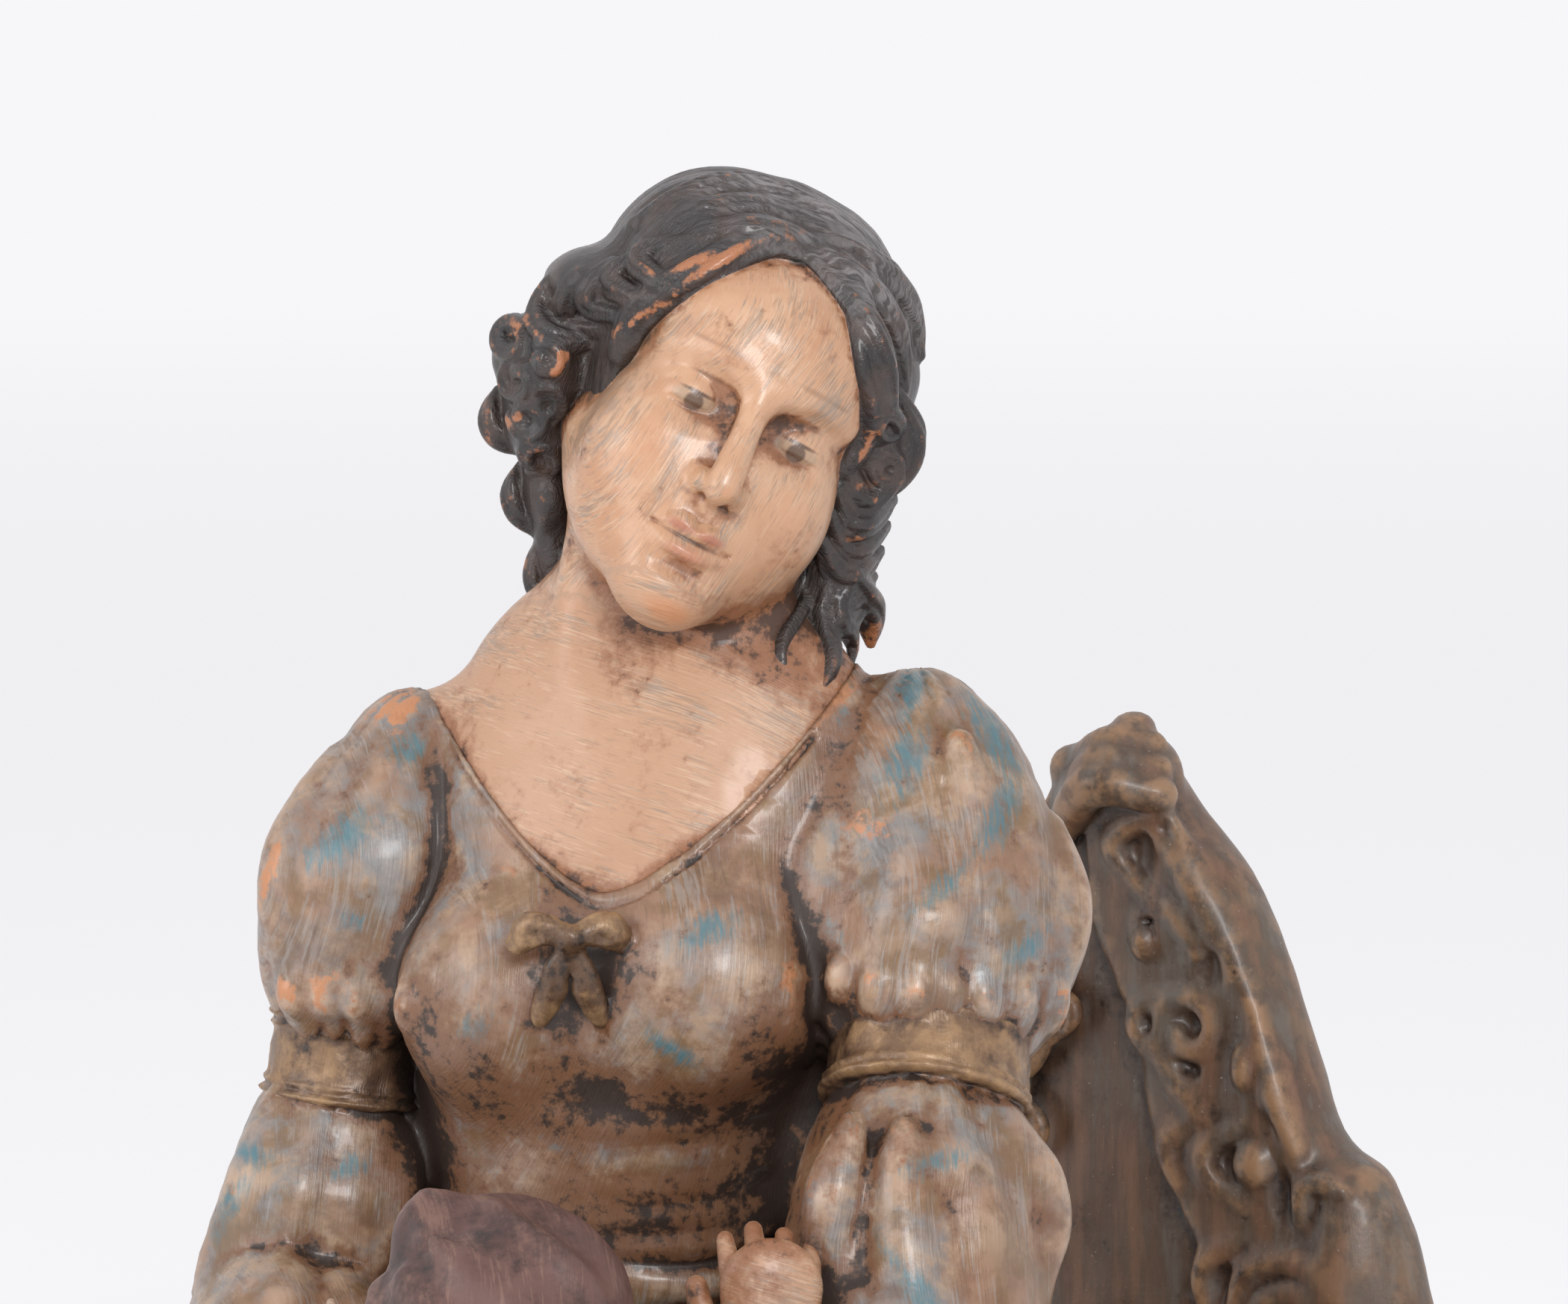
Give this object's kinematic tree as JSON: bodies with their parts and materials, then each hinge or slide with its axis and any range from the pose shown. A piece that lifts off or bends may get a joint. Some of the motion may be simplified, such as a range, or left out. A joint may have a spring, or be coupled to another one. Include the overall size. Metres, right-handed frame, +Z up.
{
  "type": "terracotta statuette",
  "caption": "Cold-painted terracotta group of a seated mother with bowed head and puffed sleeves on a carved high-backed chair, a small child standing at the knees, on a low moulded base.",
  "frame": {"origin": "middle of the underside of the base, on the surface it stands on", "axes": "+Z up, -Y is the front that the mother and the picture's view face, +X to the right of that view"},
  "size_m": [0.3, 0.33, 0.4535],
  "materials": {
    "painted_clay": "fired clay, cold painted and varnished, worn on the high places and dirty in the folds"
  },
  "bodies": {
    "root": {"statuette": "painted_clay"}
  },
  "joints": []
}
